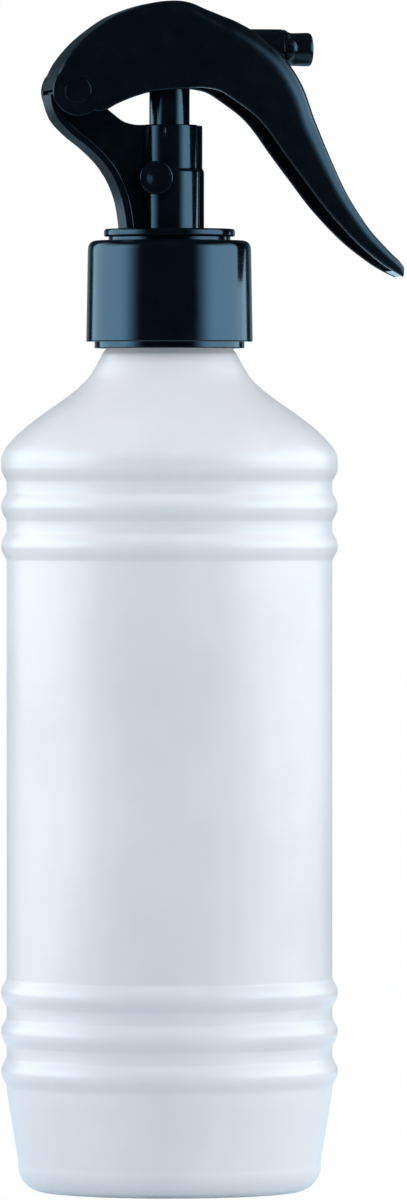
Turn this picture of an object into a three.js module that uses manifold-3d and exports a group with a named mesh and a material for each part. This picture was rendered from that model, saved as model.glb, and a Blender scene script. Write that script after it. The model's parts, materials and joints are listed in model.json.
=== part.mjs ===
// A half-litre plastic spray bottle: a blown bottle with ribs, and a small trigger sprayer screwed on its neck.
// Millimetres, +Z up. The origin is on the bottle's axis at the plane it stands on. The nozzle points along +X.
import * as THREE from "three";
import { mergeVertices } from "three/addons/utils/BufferGeometryUtils.js";
import Module from "manifold-3d";

const wasm = await Module();
wasm.setup();

// Driving sizes of the bottle
const bodyRadius = 32.6;
const wall = 1.1;
const baseCornerRadius = 5.2;
const footRingRadius = 21.5; // inner edge of the ring that the bottle stands on
const baseRadius = 30.3; // radius of the tapered foot where its bottom corner starts
const baseRecess = 1;
const taperTop = 20.4;
const ribHeight = 1.1;
const ribHalfWidth = 2.7;
const ribPitch = 7.9;
const lowestRib = 24;
const lowerRibs = 3;
const shoulderRib = 144.9; // the shoulder's bulge is the uppermost rib
const upperRibs = 3;
const slopeHeight = 15.3; // from the bulge to the end of the shoulder's slope
const shoulderTopRadius = 18.8;
const flareHeight = 7.5; // from there to the neck's base
const neckRadius = 12.6;
const neckBore = 10.8;
const rimHeight = 18.5; // from the neck's base to the rim

// Driving sizes of the closure and of the gasket under the pump's flange
const closureRadius = 16.65;
const closureDraft = 0.35; // how much narrower the closure is at its top
const closureEdge = 2.6;
const closureWall = 2.45;
const closureTopThickness = 1.45;
const lipRadius = 15;
const lipHeight = 1.3;
const closureFloorGap = 0.9; // between the neck's base and the closure's lip
const gasketThickness = 1.2;
const pumpFlangeThickness = 1;
const pumpFlangeRadius = 13.6;

// Driving sizes of the sprayer's body
const spigotRadius = 12.2;
const collarGap = 0.7; // the slit between closure and flange
const flangeRadius = 13.1;
const flangeThickness = 1.6;
const columnRadius = 6.1;
const columnUpperRadius = 5.6;
const columnStep = 11.4; // height of the column's wider part above the flange
const columnHeight = 20.8;
const guideBore = 4.3;
const finReach = 6.9;
const finThickness = 2.2;
const armWidth = 9;
const armRimThickness = 1.3;
const bossRadius = 3.35;
const bossReach = 7;
const bossDome = 0.5;
const bossBack = 4; // behind the column's axis
const bossHeight = 10.1; // above the flange

// Driving sizes of the lever and of its pivot
const pivotX = -19.8;
const pivotAboveColumn = 6.6;
const leverReach = 68; // from the pivot forward to the tip
const earRadius = 5.1;
const earWidth = 13.6; // over both ears
const leverWall = 1.3;
const leverRoof = 1.4;
const pivotRadius = 2.6;
const pivotClearance = 0.15;
const drumRadius = 3.2;
const padX = -1.5; // the rib under the lever's back that pushes the head
const padRadius = 1.5;
const padWidth = 8;

// Driving sizes of the moving head and its nozzle
const skirtRadius = 4.05;
const skirtBore = 3;
const skirtLength = 10.8; // below the column's top
const barrelRadius = 4.06;
const barrelLength = 22.9;
const nozzleAboveColumn = 15.2;
const headAboveNozzle = 4.9;
const stubRadius = 2.2;
const stubLength = 3.9;
const capRadius = 3.33;
const capLength = 5.9;
const capFace = 1;
const capShoulder = 1.5; // length of the rounded step from the barrel's width to the cap's
const gripRadius = 2.2; // of the ridged pad on each side of the cap
const gripReach = barrelRadius + 0.3; // from the nozzle's axis: it clears the lever's slot as the cap turns
const gripRidges = 5;
const orifice = 0.5;

// Driving sizes of the pump
const pumpRadius = 5.2;
const pumpBore = 4;
const chamberBelowFlange = 28.7;
const pumpTopAboveFlange = 5.4;
const stemRadius = 2;
const stemBore = 1;
const pistonLength = 6.3;
const wireRadius = 0.3;
const springTurns = 8;
const ballRadius = 2;
const tubeRadius = 2.45;
const tubeBore = 1.7;
const tubeClearance = 4; // between the tube's end and the bottle's floor

// Clearances
const seat = 0.1; // between two faces that rest on each other
const running = 0.15; // around what turns or slides
const sliver = 0.01; // faces thinner than this are merged with their neighbours

// Heights that follow from the driving sizes
const shoulderTop = shoulderRib + slopeHeight;
const neckBase = shoulderTop + flareHeight;
const rim = neckBase + rimHeight;
const pumpFlangeBottom = rim + seat + gasketThickness + seat;
const pumpFlangeTop = pumpFlangeBottom + pumpFlangeThickness;
const closureTop = pumpFlangeTop + running + closureTopThickness;
const closureBottom = neckBase + closureFloorGap;
const flangeBottom = closureTop + collarGap;
const flangeTop = flangeBottom + flangeThickness;
const columnTop = flangeTop + columnHeight;
const pivotZ = columnTop + pivotAboveColumn;
const nozzleZ = columnTop + nozzleAboveColumn;
const headTop = nozzleZ + headAboveNozzle;
const padCentre = headTop + running + padRadius;
const chamberFloor = pumpFlangeBottom - chamberBelowFlange;
const pumpTop = pumpFlangeTop + pumpTopAboveFlange;
const socketRadius = pumpRadius + seat;
const socketTop = pumpTop + 1.1; // the column's bore narrows just over the stem's collar

// Segments round a full turn, by how large the piece is
const fine = 44;
const medium = 28;
const coarse = 16;

// Turns a closed three.js geometry into a manifold-3d solid.
function solid(geometry) {
  const bare = geometry.index ? geometry.toNonIndexed() : geometry;
  bare.deleteAttribute("normal");
  bare.deleteAttribute("uv");
  const merged = mergeVertices(bare, 1e-4);
  return new wasm.Manifold(
    new wasm.Mesh({
      numProp: 3,
      vertProperties: merged.attributes.position.array,
      triVerts: new Uint32Array(merged.index.array),
    }),
  );
}

// Turns a manifold-3d solid back into a three.js geometry, without the slivers that joins and cuts leave.
function geometryOf(made) {
  const mesh = made.simplify(sliver).getMesh();
  const geometry = new THREE.BufferGeometry();
  geometry.setAttribute("position", new THREE.BufferAttribute(mesh.vertProperties, 3));
  geometry.setIndex(new THREE.BufferAttribute(mesh.triVerts, 1));
  const flat = geometry.toNonIndexed();
  flat.computeVertexNormals();
  return flat;
}

// A solid of revolution about Z. The profile holds [radius, height] pairs and closes on itself or on the axis.
function turned(profile, segments) {
  const points = profile.map(([r, z]) => new THREE.Vector2(r, z));
  if (points[0].x > 0 || points.at(-1).x > 0) points.push(points[0].clone());
  return solid(new THREE.LatheGeometry(points, segments).rotateX(Math.PI / 2));
}

// A cylinder or cone along Z between two heights.
function post(radiusBottom, radiusTop, bottom, top, segments) {
  const geometry = new THREE.CylinderGeometry(radiusTop, radiusBottom, top - bottom, segments);
  return solid(geometry.rotateX(Math.PI / 2).translate(0, 0, (bottom + top) / 2));
}

// A cylinder or cone along X, on the line y = 0 at height z.
function lyingPost(radiusStart, radiusEnd, start, end, z, segments) {
  const geometry = new THREE.CylinderGeometry(radiusEnd, radiusStart, end - start, segments);
  return solid(geometry.rotateZ(-Math.PI / 2).translate((start + end) / 2, 0, z));
}

// A cylinder along Y through a point of the XZ plane.
function crossPost(radius, width, x, z, segments) {
  return solid(new THREE.CylinderGeometry(radius, radius, width, segments).translate(x, 0, z));
}

// An outline in the XZ plane, made thick along Y and centred there, or moved aside to the offset.
function plate(outline, width, offset = 0) {
  const shape = new THREE.Shape(outline.map(([x, z]) => new THREE.Vector2(x, z)));
  const geometry = new THREE.ExtrudeGeometry(shape, { depth: width, bevelEnabled: false });
  return solid(geometry.rotateX(Math.PI / 2).translate(0, width / 2 + offset, 0));
}

// A closed solid through a row of outlines that all have the same number of points.
function loft(rings) {
  const count = rings[0].length;
  const positions = rings.flat().flatMap((p) => [p.x, p.y, p.z]);
  const index = [];
  for (let i = 0; i + 1 < rings.length; i++)
    for (let j = 0; j < count; j++) {
      const next = (j + 1) % count;
      const [a, b, c, d] = [i * count + j, i * count + next, (i + 1) * count + next, (i + 1) * count + j];
      index.push(a, b, c, a, c, d);
    }
  const last = (rings.length - 1) * count;
  for (let j = 1; j + 1 < count; j++) {
    index.push(0, j + 1, j);
    index.push(last, last + j, last + j + 1);
  }
  const geometry = new THREE.BufferGeometry();
  geometry.setAttribute("position", new THREE.Float32BufferAttribute(positions, 3));
  geometry.setIndex(index);
  return solid(geometry);
}

// Points on a smooth curve through [x, z] pairs.
function smooth(points, divisions) {
  const curve = new THREE.SplineCurve(points.map(([x, z]) => new THREE.Vector2(x, z)));
  return curve.getPoints(divisions).map((p) => [p.x, p.y]);
}

// Points on an arc in the plane of a profile or an outline, from one angle to another in degrees.
function arc(centreX, centreZ, radius, from, to, steps) {
  return Array.from({ length: steps + 1 }, (_, i) => {
    const angle = THREE.MathUtils.degToRad(from + ((to - from) * i) / steps);
    return [centreX + radius * Math.cos(angle), centreZ + radius * Math.sin(angle)];
  });
}

// One rib's profile round its own height: a rounded bead that stands out of the body's radius.
function rib(centre, radius, steps) {
  return Array.from({ length: steps + 1 }, (_, i) => {
    const u = (2 * i) / steps - 1;
    return [radius + ribHeight * (1 - u * u) ** 1.4, centre + u * ribHalfWidth];
  });
}

// The heights of the ribs' middles, from the lowest up. The shoulder's bulge isn't among them.
function ribCentres() {
  const low = Array.from({ length: lowerRibs }, (_, i) => lowestRib + i * ribPitch);
  const high = Array.from({ length: upperRibs - 1 }, (_, i) => shoulderRib - (upperRibs - 1 - i) * ribPitch);
  return [...low, ...high];
}

// The bottle's outside or, with a wall, its inside, as a profile from the foot up to the rim.
function bottleSide(thickness, ribSteps) {
  const radius = bodyRadius - thickness;
  const cornerRadius = baseCornerRadius - thickness;
  const cornerX = baseRadius - baseCornerRadius;
  const crest = radius + ribHeight;
  const slope = Math.atan2(shoulderTop - shoulderRib - ribHalfWidth, crest - shoulderTopRadius);
  const shoulder = thickness / Math.cos(slope); // how far the inside of the slope lies under its outside
  const half = Math.floor(ribSteps / 2);
  return [
    ...arc(cornerX, baseCornerRadius, cornerRadius, -90, 8, 5),
    [radius, taperTop],
    ...ribCentres().flatMap((z) => rib(z, radius, ribSteps)),
    ...rib(shoulderRib, radius, ribSteps).slice(0, half + 1),
    [crest - 0.15, shoulderRib + 2.4],
    [crest - 1.4, shoulderRib + 4.6],
    [shoulderTopRadius + 10.5, shoulderTop - 7.9 - shoulder * 0.8],
    [shoulderTopRadius + 0.8, shoulderTop - 0.7 - shoulder],
  ];
}

// The hollow curve from the shoulder's slope up to the neck.
function flare(thickness) {
  const foot = shoulderTopRadius - neckRadius;
  return [[0.61, 0.27], [0.42, 0.55], [0.23, 0.85]].map(([across, up]) => [
    neckRadius + foot * across - thickness * 1.1,
    shoulderTop + flareHeight * up - thickness * 0.7,
  ]);
}

function bottle() {
  const outside = [
    [0, baseRecess],
    [footRingRadius - 2.2, baseRecess],
    [footRingRadius, 0],
    ...bottleSide(0, 6),
    ...flare(0),
    [neckRadius + 0.7, neckBase],
    [neckRadius, neckBase + 0.9],
    [neckRadius, rim - 0.3],
    [neckRadius - 0.3, rim],
  ];
  const inside = [
    [0, baseRecess + wall],
    [footRingRadius - 2.2, baseRecess + wall],
    [footRingRadius, wall],
    ...bottleSide(wall, 2),
    ...flare(wall),
    [neckBore, neckBase + 1.6],
    [neckBore, rim],
  ];
  return turned([...outside, ...inside.reverse()], fine);
}

function closure() {
  const top = closureRadius - closureDraft;
  const inner = closureRadius - closureWall;
  const profile = [
    [inner, closureBottom],
    [lipRadius - 0.25, closureBottom],
    [lipRadius, closureBottom + 0.3],
    [lipRadius, closureBottom + lipHeight],
    [closureRadius, closureBottom + lipHeight],
    ...arc(top - closureEdge, closureTop - closureEdge, closureEdge, 0, 90, 5),
    [spigotRadius + 0.2, closureTop],
    [spigotRadius + 0.2, closureTop - closureTopThickness],
    [inner, closureTop - closureTopThickness],
  ];
  return turned(profile, fine);
}

function neckGasket() {
  const bottom = rim + seat;
  const profile = [
    [neckBore + 0.1, bottom],
    [pumpFlangeRadius - 0.3, bottom],
    [pumpFlangeRadius - 0.3, bottom + gasketThickness],
    [neckBore + 0.1, bottom + gasketThickness],
  ];
  return turned(profile, medium);
}

// The sprayer body's round parts: spigot, flange and the column that guides the moving head.
function column() {
  const skirtWall = 1.2;
  const profile = [
    [socketRadius, pumpFlangeTop + seat],
    [socketRadius + skirtWall, pumpFlangeTop + seat],
    [socketRadius + skirtWall, flangeBottom + 0.3],
    [spigotRadius - skirtWall, flangeBottom + 0.3],
    [spigotRadius - skirtWall, pumpFlangeTop + seat],
    [spigotRadius, pumpFlangeTop + seat],
    [spigotRadius, flangeBottom],
    [flangeRadius, flangeBottom],
    [flangeRadius, flangeTop],
    [columnRadius, flangeTop],
    [columnRadius, flangeTop + columnStep],
    [columnUpperRadius, flangeTop + columnStep + 0.7],
    [columnUpperRadius, columnTop],
    [guideBore, columnTop],
    [guideBore, socketTop],
    [socketRadius, socketTop],
  ];
  return turned(profile, medium);
}

// The fin down the column's front, a little narrower over the column's step.
function fin() {
  const step = flangeTop + columnStep;
  const inside = guideBore + 0.4;
  const outline = [
    [inside, flangeTop - 0.4],
    [finReach, flangeTop - 0.4],
    [finReach, step],
    [finReach - 0.3, step + 0.7],
    [finReach - 0.3, columnTop],
    [inside, columnTop],
  ];
  return plate(outline, finThickness);
}

// The back of the arm in side view, from the lever's stop down to the flange.
function armBack() {
  const points = [
    [-5.3, -0.8],
    [-5, -2.6],
    [-4.4, -4.4],
    [-3.3, -6.4],
    [-0.7, -9],
    [2.6, -11.6],
    [5.7, -14.7],
    [8, -18.3],
    [9.5, -22.5],
    [10.3, -27.8],
  ];
  const scale = (pivotZ - flangeTop + 0.4) / 27.8; // the lowest point lies in the flange
  return smooth(points.map(([x, z]) => [pivotX + scale * x, pivotZ + scale * z]), 22);
}

// The arm: a thin web with a wide rim down its back, and a drum at its top that carries the pivot's two stubs.
function arm() {
  const back = armBack();
  const foot = flangeTop - 0.4;
  const inside = -(guideBore + 0.4);
  const upperEdge = [
    [inside, columnTop],
    [pivotX + 13, columnTop - 0.2],
    [pivotX + 11.6, columnTop - 0.1],
    [pivotX + 10.3, columnTop + 0.5],
    [pivotX + 8.8, columnTop + 1.9],
    [pivotX + 6.4, columnTop + 4.6],
    [pivotX + 3.2, pivotZ - 0.5],
  ];
  const whole = plate([...back, [back.at(-1)[0], foot], [inside, foot], ...upperEdge], armWidth);
  const rimInside = back.slice(9).map(([x, z]) => [x + armRimThickness * 1.1, z + 0.2]);
  const pocket = [
    ...rimInside,
    [back.at(-1)[0] + armRimThickness, foot - 1],
    [0, foot - 1],
    [0, columnTop + 9],
    [pivotX + 9, pivotZ + 2],
    ...arc(pivotX, pivotZ, earRadius - 0.7, -12, -100, 8),
  ];
  const pocketDepth = (armWidth - finThickness) / 2;
  const pocketOffset = (armWidth + finThickness) / 4 + 0.5;
  const near = plate(pocket, pocketDepth + 1, -pocketOffset);
  const far = plate(pocket, pocketDepth + 1, pocketOffset);
  const drumWidth = earWidth - 2 * leverWall - 4 * running;
  const drum = crossPost(drumRadius, drumWidth, pivotX, pivotZ, medium);
  const stubs = crossPost(pivotRadius, earWidth + 0.4, pivotX, pivotZ, coarse);
  return whole.subtract(near).subtract(far).add(drum).add(stubs);
}

// A round boss on each side of the column, where web and column meet, with a slightly domed face.
function boss() {
  const reach = bossReach - bossDome;
  const profile = [
    [0, -bossReach],
    [bossRadius * 0.55, -bossReach + bossDome * 0.25],
    [bossRadius * 0.9, -reach],
    [bossRadius, -reach + 0.35],
    [bossRadius, reach - 0.35],
    [bossRadius * 0.9, reach],
    [bossRadius * 0.55, bossReach - bossDome * 0.25],
    [0, bossReach],
  ];
  const turnedBoss = turned(profile, coarse);
  return turnedBoss.rotate([90, 0, 0]).translate([-bossBack, 0, flangeTop + bossHeight]);
}

function sprayerBody() {
  const bore = post(guideBore, guideBore, socketTop - 0.1, columnTop + 1, medium);
  const socket = post(socketRadius, socketRadius, flangeBottom, socketTop, medium);
  return column().add(fin()).add(arm()).add(boss()).subtract(bore).subtract(socket);
}

// The lever from its pivot to its tip: where its back runs, where its open edge runs, half its width, and the radius
// of its back's corners. The places are in millimetres from the pivot, for a reach of 68 mm.
function leverStations() {
  const stations = [
    [-4.95, 0, -2.4, -0.6, 6.8, 0.6],
    [-3.75, 2.9, 1, -3.2, 6.8, 0.6],
    [-2.3, 5.5, 4.6, -3.9, 6.8, 0.8],
    [0.2, 8.6, 7.8, -2.1, 6.85, 0.9],
    [3.2, 11.4, 10.6, -0.9, 6.9, 1],
    [7.8, 14.5, 12.7, -0.4, 6.95, 1.2],
    [11.4, 16.2, 14.6, 0, 7, 1.6],
    [20.6, 18.2, 19.8, 0.2, 7.2, 2.6],
    [26, 17, 24.3, 0.9, 7.4, 3.6],
    [31.5, 14.7, 28.2, 0.3, 7.6, 4.4],
    [37.1, 11.6, 31.9, -1.8, 7.7, 4.8],
    [42.2, 7.3, 35.7, -4.6, 7.7, 4.8],
    [46.1, 1.4, 38.4, -7.6, 7.7, 4.8],
    [48.6, -5.3, 41.8, -12.3, 7.7, 4.8],
    [51.4, -12.5, 45.9, -17.8, 7.7, 4.6],
    [55.1, -20.4, 50.4, -23.7, 7.5, 4],
    [59.9, -27.2, 56.3, -29.7, 6.9, 3],
    [64.5, -31.8, 61.8, -34.2, 6, 2.2],
    [68, -34.8, 66.6, -36.9, 4.8, 1.6],
  ];
  const scale = leverReach / 68;
  return [[0, 1], [2, 3], [4, 5]].map(
    ([a, b]) => new THREE.SplineCurve(stations.map((s) => new THREE.Vector2(s[a], s[b]).multiplyScalar(scale))),
  );
}

// A U-shaped solid along the lever's length. The wall and roof shrink it for the hollow, which also reaches past the open edge.
function leverForm(sideInset, roofInset, below, from, to, steps) {
  const hollowRun = 60; // millimetres for a whole length of the lever's parameter
  const [back, edge, width] = leverStations();
  const rings = [];
  for (let i = 0; i <= steps; i++) {
    const t = from + ((to - from) * i) / steps;
    const inside = THREE.MathUtils.clamp(t, 0, 1);
    const [s, e, w] = [back.getPoint(inside), edge.getPoint(inside), width.getPoint(inside)];
    const down = e.clone().sub(s);
    const depth = down.length() + below;
    down.normalize();
    const half = w.x - sideInset;
    const radius = Math.max(0.35, w.y - roofInset);
    const outline = [
      [half, depth],
      ...arc(half - radius, roofInset + radius, radius, 0, -90, 5),
      ...arc(-(half - radius), roofInset + radius, radius, 270, 180, 5),
      [-half, depth],
    ];
    const along = (t - inside) * hollowRun; // past the back end the hollow runs straight on
    rings.push(
      outline.map(([y, d]) => {
        const x = pivotX + s.x + down.x * d - along * down.y;
        const z = pivotZ + s.y + down.y * d + along * down.x;
        return new THREE.Vector3(x, y, z);
      }),
    );
  }
  return loft(rings);
}

// The slot in the lever's front, wide enough for the nozzle at every angle of the lever.
function nozzleSlot() {
  const bottom = nozzleZ - barrelRadius - 0.45;
  const outline = [
    [5.3, nozzleZ - 2],
    [barrelLength, bottom],
    [barrelLength + 12, bottom],
    [barrelLength + 12, nozzleZ + 14],
    [5.3, nozzleZ + 14],
  ];
  return plate(outline, 2 * barrelRadius + 1.2);
}

// The room between the ears, open to below.
function betweenEars() {
  const inside = -earRadius + leverRoof;
  const outline = [[-9, -9], [9, -9], [9, 0.5], [inside, 0.5], [inside, -0.3], [-9, -0.3]];
  const placed = outline.map(([x, z]) => [pivotX + x, pivotZ + z]);
  return plate(placed, earWidth - 2 * leverWall + 0.15);
}

// The rib across the lever's roof that presses on the head.
function pad() {
  const roof = padCentre + 2.2;
  const [back, front] = [padX - padRadius, padX + padRadius];
  const root = plate([[back, padCentre], [front, padCentre], [front, roof], [back, roof]], padWidth);
  return crossPost(padRadius, padWidth, padX, padCentre, coarse).add(root);
}

function triggerLever() {
  const shell = leverForm(0, 0, 0, 0, 1, 28);
  const hollow = leverForm(leverWall, leverRoof, 1, -0.04, 0.955, 28);
  const ears = crossPost(earRadius, earWidth, pivotX, pivotZ, medium);
  const holes = crossPost(pivotRadius + pivotClearance, earWidth + 4, pivotX, pivotZ, coarse);
  const channel = shell.add(ears).subtract(hollow.add(betweenEars()));
  return channel.add(pad()).subtract(nozzleSlot()).subtract(holes);
}

// The head that moves down with the lever: a skirt in the column, a flat top under the lever's pad, and the nozzle's barrel.
function actuator() {
  const skirtBottom = columnTop - skirtLength;
  const socketBottom = columnTop + 1;
  const skirt = post(skirtRadius, skirtRadius, skirtBottom, headTop, medium);
  const barrel = lyingPost(barrelRadius, barrelRadius, 0, barrelLength, nozzleZ, medium);
  const stub = lyingPost(stubRadius, stubRadius, barrelLength - 1, barrelLength + stubLength, nozzleZ, coarse);
  const hollow = post(skirtBore, skirtBore, skirtBottom - 1, socketBottom, medium);
  const socket = post(stemRadius + seat, stemRadius + seat, socketBottom - 1, socketBottom + 8, coarse);
  const rise = post(stemBore, stemBore, socketBottom + 7, nozzleZ, coarse);
  const channel = lyingPost(stemBore, stemBore, 0, barrelLength + stubLength + 1, nozzleZ, coarse);
  const seatEnd = barrelLength + stubLength;
  const insertSeat = lyingPost(1.5, 1.5, seatEnd - 1.6, seatEnd + 1, nozzleZ, coarse);
  const made = skirt.add(barrel).add(stub);
  return made.subtract(hollow).subtract(socket).subtract(rise).subtract(channel).subtract(insertSeat);
}

// The small plug in the barrel's end that sets the liquid spinning.
function swirlInsert() {
  const end = barrelLength + stubLength;
  const plug = lyingPost(1.4, 1.4, end - 1.5, end - 0.1, nozzleZ, coarse);
  return plug.subtract(lyingPost(orifice, orifice, end - 3, end + 1, nozzleZ, coarse));
}

// The turning cap at the nozzle's end. Its foot is as wide as the barrel, and it has a ridged pad on each side.
function nozzleCap() {
  const start = barrelLength + seat;
  const end = start + capLength;
  const profile = [
    [orifice, 0],
    [barrelRadius - 0.1, 0],
    [barrelRadius - 0.1, 0.3],
    [barrelRadius - 0.35, capShoulder * 0.5],
    [capRadius - 0.08, capShoulder],
    [capRadius, capLength - 0.25],
    [capRadius - 0.25, capLength],
    [orifice, capLength],
  ];
  const shell = turned(profile, medium).rotate([0, 90, 0]).translate([start, 0, nozzleZ]);
  const swing = lyingPost(gripReach, gripReach, start - 2, end + 2, nozzleZ, fine);
  const beyond = lyingPost(2 * gripReach, 2 * gripReach, start - 1, end + 1, nozzleZ, coarse).subtract(swing);
  const pads = crossPost(gripRadius, 2 * gripReach, start + 0.3, nozzleZ, medium).subtract(beyond);
  const behind = plate([[start - 9, nozzleZ - 9], [start, nozzleZ - 9], [start, nozzleZ + 9], [start - 9, nozzleZ + 9]], 20);
  const middle = lyingPost(stubRadius + running, stubRadius + running, start - 1, end - capFace, nozzleZ, coarse);
  const dish = lyingPost(orifice, 1.5, end - 0.6, end + 0.01, nozzleZ, coarse);
  return shell.add(pads).subtract(behind).subtract(middle).subtract(dish).subtract(gripGrooves(start));
}

// The grooves between the ridges, cut across the rear half of both pads.
function gripGrooves(start) {
  const pitch = (1.7 * gripRadius) / gripRidges;
  const grooves = Array.from({ length: gripRidges - 1 }, (_, i) => {
    const z = nozzleZ + (i - (gripRidges - 2) / 2) * pitch;
    const half = pitch * 0.22;
    const outline = [[start - 1, z - half], [start + 0.9, z - half], [start + 0.9, z + half], [start - 1, z + half]];
    const through = plate(outline, 3 * gripReach);
    return through.subtract(plate(outline, 2 * (gripReach - 0.35)));
  });
  return wasm.Manifold.union(grooves);
}

// The pump's housing: a tube through the neck with a flange on the gasket, a valve seat and a socket for the dip tube.
function pumpHousing() {
  const lip = chamberFloor - 0.6;
  const seatTop = lip - 3.1;
  const seatBottom = seatTop - 1.2;
  const holderTop = seatBottom - 2;
  const holderBottom = holderTop - 8;
  const profile = [
    [tubeRadius + seat, holderBottom],
    [tubeRadius + 1.1, holderBottom],
    [tubeRadius + 1.1, holderTop + 1],
    [pumpRadius, holderTop + 3.4],
    [pumpRadius, pumpFlangeBottom],
    [pumpFlangeRadius, pumpFlangeBottom],
    [pumpFlangeRadius, pumpFlangeTop],
    [pumpRadius, pumpFlangeTop],
    [pumpRadius, pumpTop],
    [pumpBore, pumpTop],
    [pumpBore, chamberFloor],
    [ballRadius - 0.3, chamberFloor],
    [ballRadius - 0.3, lip],
    [ballRadius + 0.45, lip],
    [ballRadius + 0.45, seatTop],
    [ballRadius - 0.75, seatBottom],
    [ballRadius - 0.75, holderTop],
    [tubeRadius + seat, holderTop],
  ];
  return turned(profile, medium);
}

function inletBall() {
  const seatBottom = chamberFloor - 4.9;
  const apex = seatBottom - (ballRadius - 0.75); // of the valve seat's cone, which opens at 45 degrees
  const centre = apex + (ballRadius + seat) * Math.SQRT2;
  return solid(new THREE.SphereGeometry(ballRadius, coarse, 12).translate(0, 0, centre));
}

// The guide at the top of the pump that keeps the stem upright and the piston in.
function stemCollar() {
  const bottom = pumpTop - 10;
  const profile = [
    [stemRadius + running, bottom],
    [pumpBore - 0.1, bottom],
    [pumpBore - 0.1, pumpTop + seat],
    [pumpRadius - 0.1, pumpTop + seat],
    [pumpRadius - 0.1, pumpTop + 0.9],
    [stemRadius + running, pumpTop + 0.9],
  ];
  return turned(profile, coarse);
}

const pistonTop = pumpTop - 10 - 0.2;
const pistonBottom = pistonTop - pistonLength;

function pumpStem() {
  const top = columnTop + 1 + 8 - seat;
  const profile = [
    [stemBore, pistonBottom + 0.6],
    [stemRadius, pistonBottom + 0.6],
    [stemRadius, top],
    [stemBore, top],
  ];
  return turned(profile, coarse);
}

// The piston has a sealing lip at each end and a waist between them.
function piston() {
  const lipRadiusHere = pumpBore - 0.1;
  const profile = [
    [stemRadius + seat, pistonBottom],
    [lipRadiusHere - 0.5, pistonBottom],
    [lipRadiusHere, pistonBottom + 0.4],
    [lipRadiusHere - 0.7, pistonBottom + 2],
    [lipRadiusHere - 0.7, pistonTop - 2],
    [lipRadiusHere, pistonTop - 0.4],
    [lipRadiusHere - 0.5, pistonTop],
    [stemRadius + seat, pistonTop],
  ];
  return turned(profile, coarse);
}

const poppetTop = pistonBottom - seat;
const poppetBottom = poppetTop - 2.6;

// The poppet closes the stem from below and takes the spring's push.
function valvePoppet() {
  const profile = [
    [0, poppetBottom],
    [1.6, poppetBottom],
    [2.3, poppetBottom + 0.6],
    [3.3, poppetBottom + 0.6],
    [3.3, poppetTop],
    [0.75, poppetTop],
    [0.75, poppetTop + 4],
    [0, poppetTop + 4.6],
  ];
  return turned(profile, coarse);
}

function returnSpring() {
  const bottom = chamberFloor + seat + wireRadius;
  const top = poppetBottom + 0.6 - seat - wireRadius;
  const radius = pumpBore - 0.95;
  const perTurn = 12;
  const steps = springTurns * perTurn;
  const rings = [];
  for (let i = 0; i <= steps; i++) {
    const angle = (2 * Math.PI * i) / perTurn;
    const share = i / steps;
    const z = THREE.MathUtils.lerp(bottom, top, THREE.MathUtils.smoothstep(share, 0, 1) * 0.3 + share * 0.7);
    rings.push(
      Array.from({ length: 6 }, (_, k) => {
        const a = (2 * Math.PI * k) / 6;
        const r = radius + wireRadius * Math.cos(a);
        return new THREE.Vector3(r * Math.cos(angle), r * Math.sin(angle), z - wireRadius * Math.sin(a));
      }),
    );
  }
  return loft(rings);
}

function dipTube() {
  const top = chamberFloor - 0.6 - 3.1 - 1.2 - 2 - 0.2;
  const bottom = baseRecess + wall + tubeClearance;
  const tube = turned(
    [[tubeBore, bottom], [tubeRadius, bottom], [tubeRadius, top], [tubeBore, top]],
    coarse,
  );
  const slant = plate(
    [[-tubeRadius - 1, bottom - 1], [tubeRadius + 1, bottom - 1], [tubeRadius + 1, bottom + 3.4]],
    2 * tubeRadius + 2,
  );
  return tube.subtract(slant);
}

// Finishes, each with its colour, roughness and metalness
const finishes = {
  whitePlastic: new THREE.MeshStandardMaterial({ color: 0xe9eef4, roughness: 0.32 }),
  blackPlastic: new THREE.MeshStandardMaterial({ color: 0x0b0e12, roughness: 0.16 }),
  naturalPlastic: new THREE.MeshStandardMaterial({ color: 0xe4e6e2, roughness: 0.4 }),
  foam: new THREE.MeshStandardMaterial({ color: 0xf0f0ec, roughness: 0.9 }),
  steel: new THREE.MeshStandardMaterial({ color: 0xc0c2c4, roughness: 0.25, metalness: 1 }),
};

const pieces = [
  ["bottle", bottle, "whitePlastic"],
  ["closure", closure, "blackPlastic"],
  ["neck_gasket", neckGasket, "foam"],
  ["sprayer_body", sprayerBody, "blackPlastic"],
  ["trigger_lever", triggerLever, "blackPlastic"],
  ["actuator_head", actuator, "blackPlastic"],
  ["swirl_insert", swirlInsert, "naturalPlastic"],
  ["nozzle_cap", nozzleCap, "blackPlastic"],
  ["pump_housing", pumpHousing, "naturalPlastic"],
  ["stem_collar", stemCollar, "naturalPlastic"],
  ["pump_stem", pumpStem, "naturalPlastic"],
  ["piston", piston, "naturalPlastic"],
  ["valve_poppet", valvePoppet, "naturalPlastic"],
  ["return_spring", returnSpring, "steel"],
  ["inlet_ball", inletBall, "steel"],
  ["dip_tube", dipTube, "naturalPlastic"],
];

const sprayBottle = new THREE.Group();
for (const [name, make, finish] of pieces) {
  const mesh = new THREE.Mesh(geometryOf(make()), finishes[finish]);
  mesh.name = name;
  sprayBottle.add(mesh);
}

export default sprayBottle;
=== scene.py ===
"""The looks of a trigger spray bottle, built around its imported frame.

Sizes are in millimetres and become metres when a mesh is made. Z is up, and the nozzle points along +X.
"""
import json
import math

import bmesh
import bpy
from mathutils import Matrix, Vector


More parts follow.
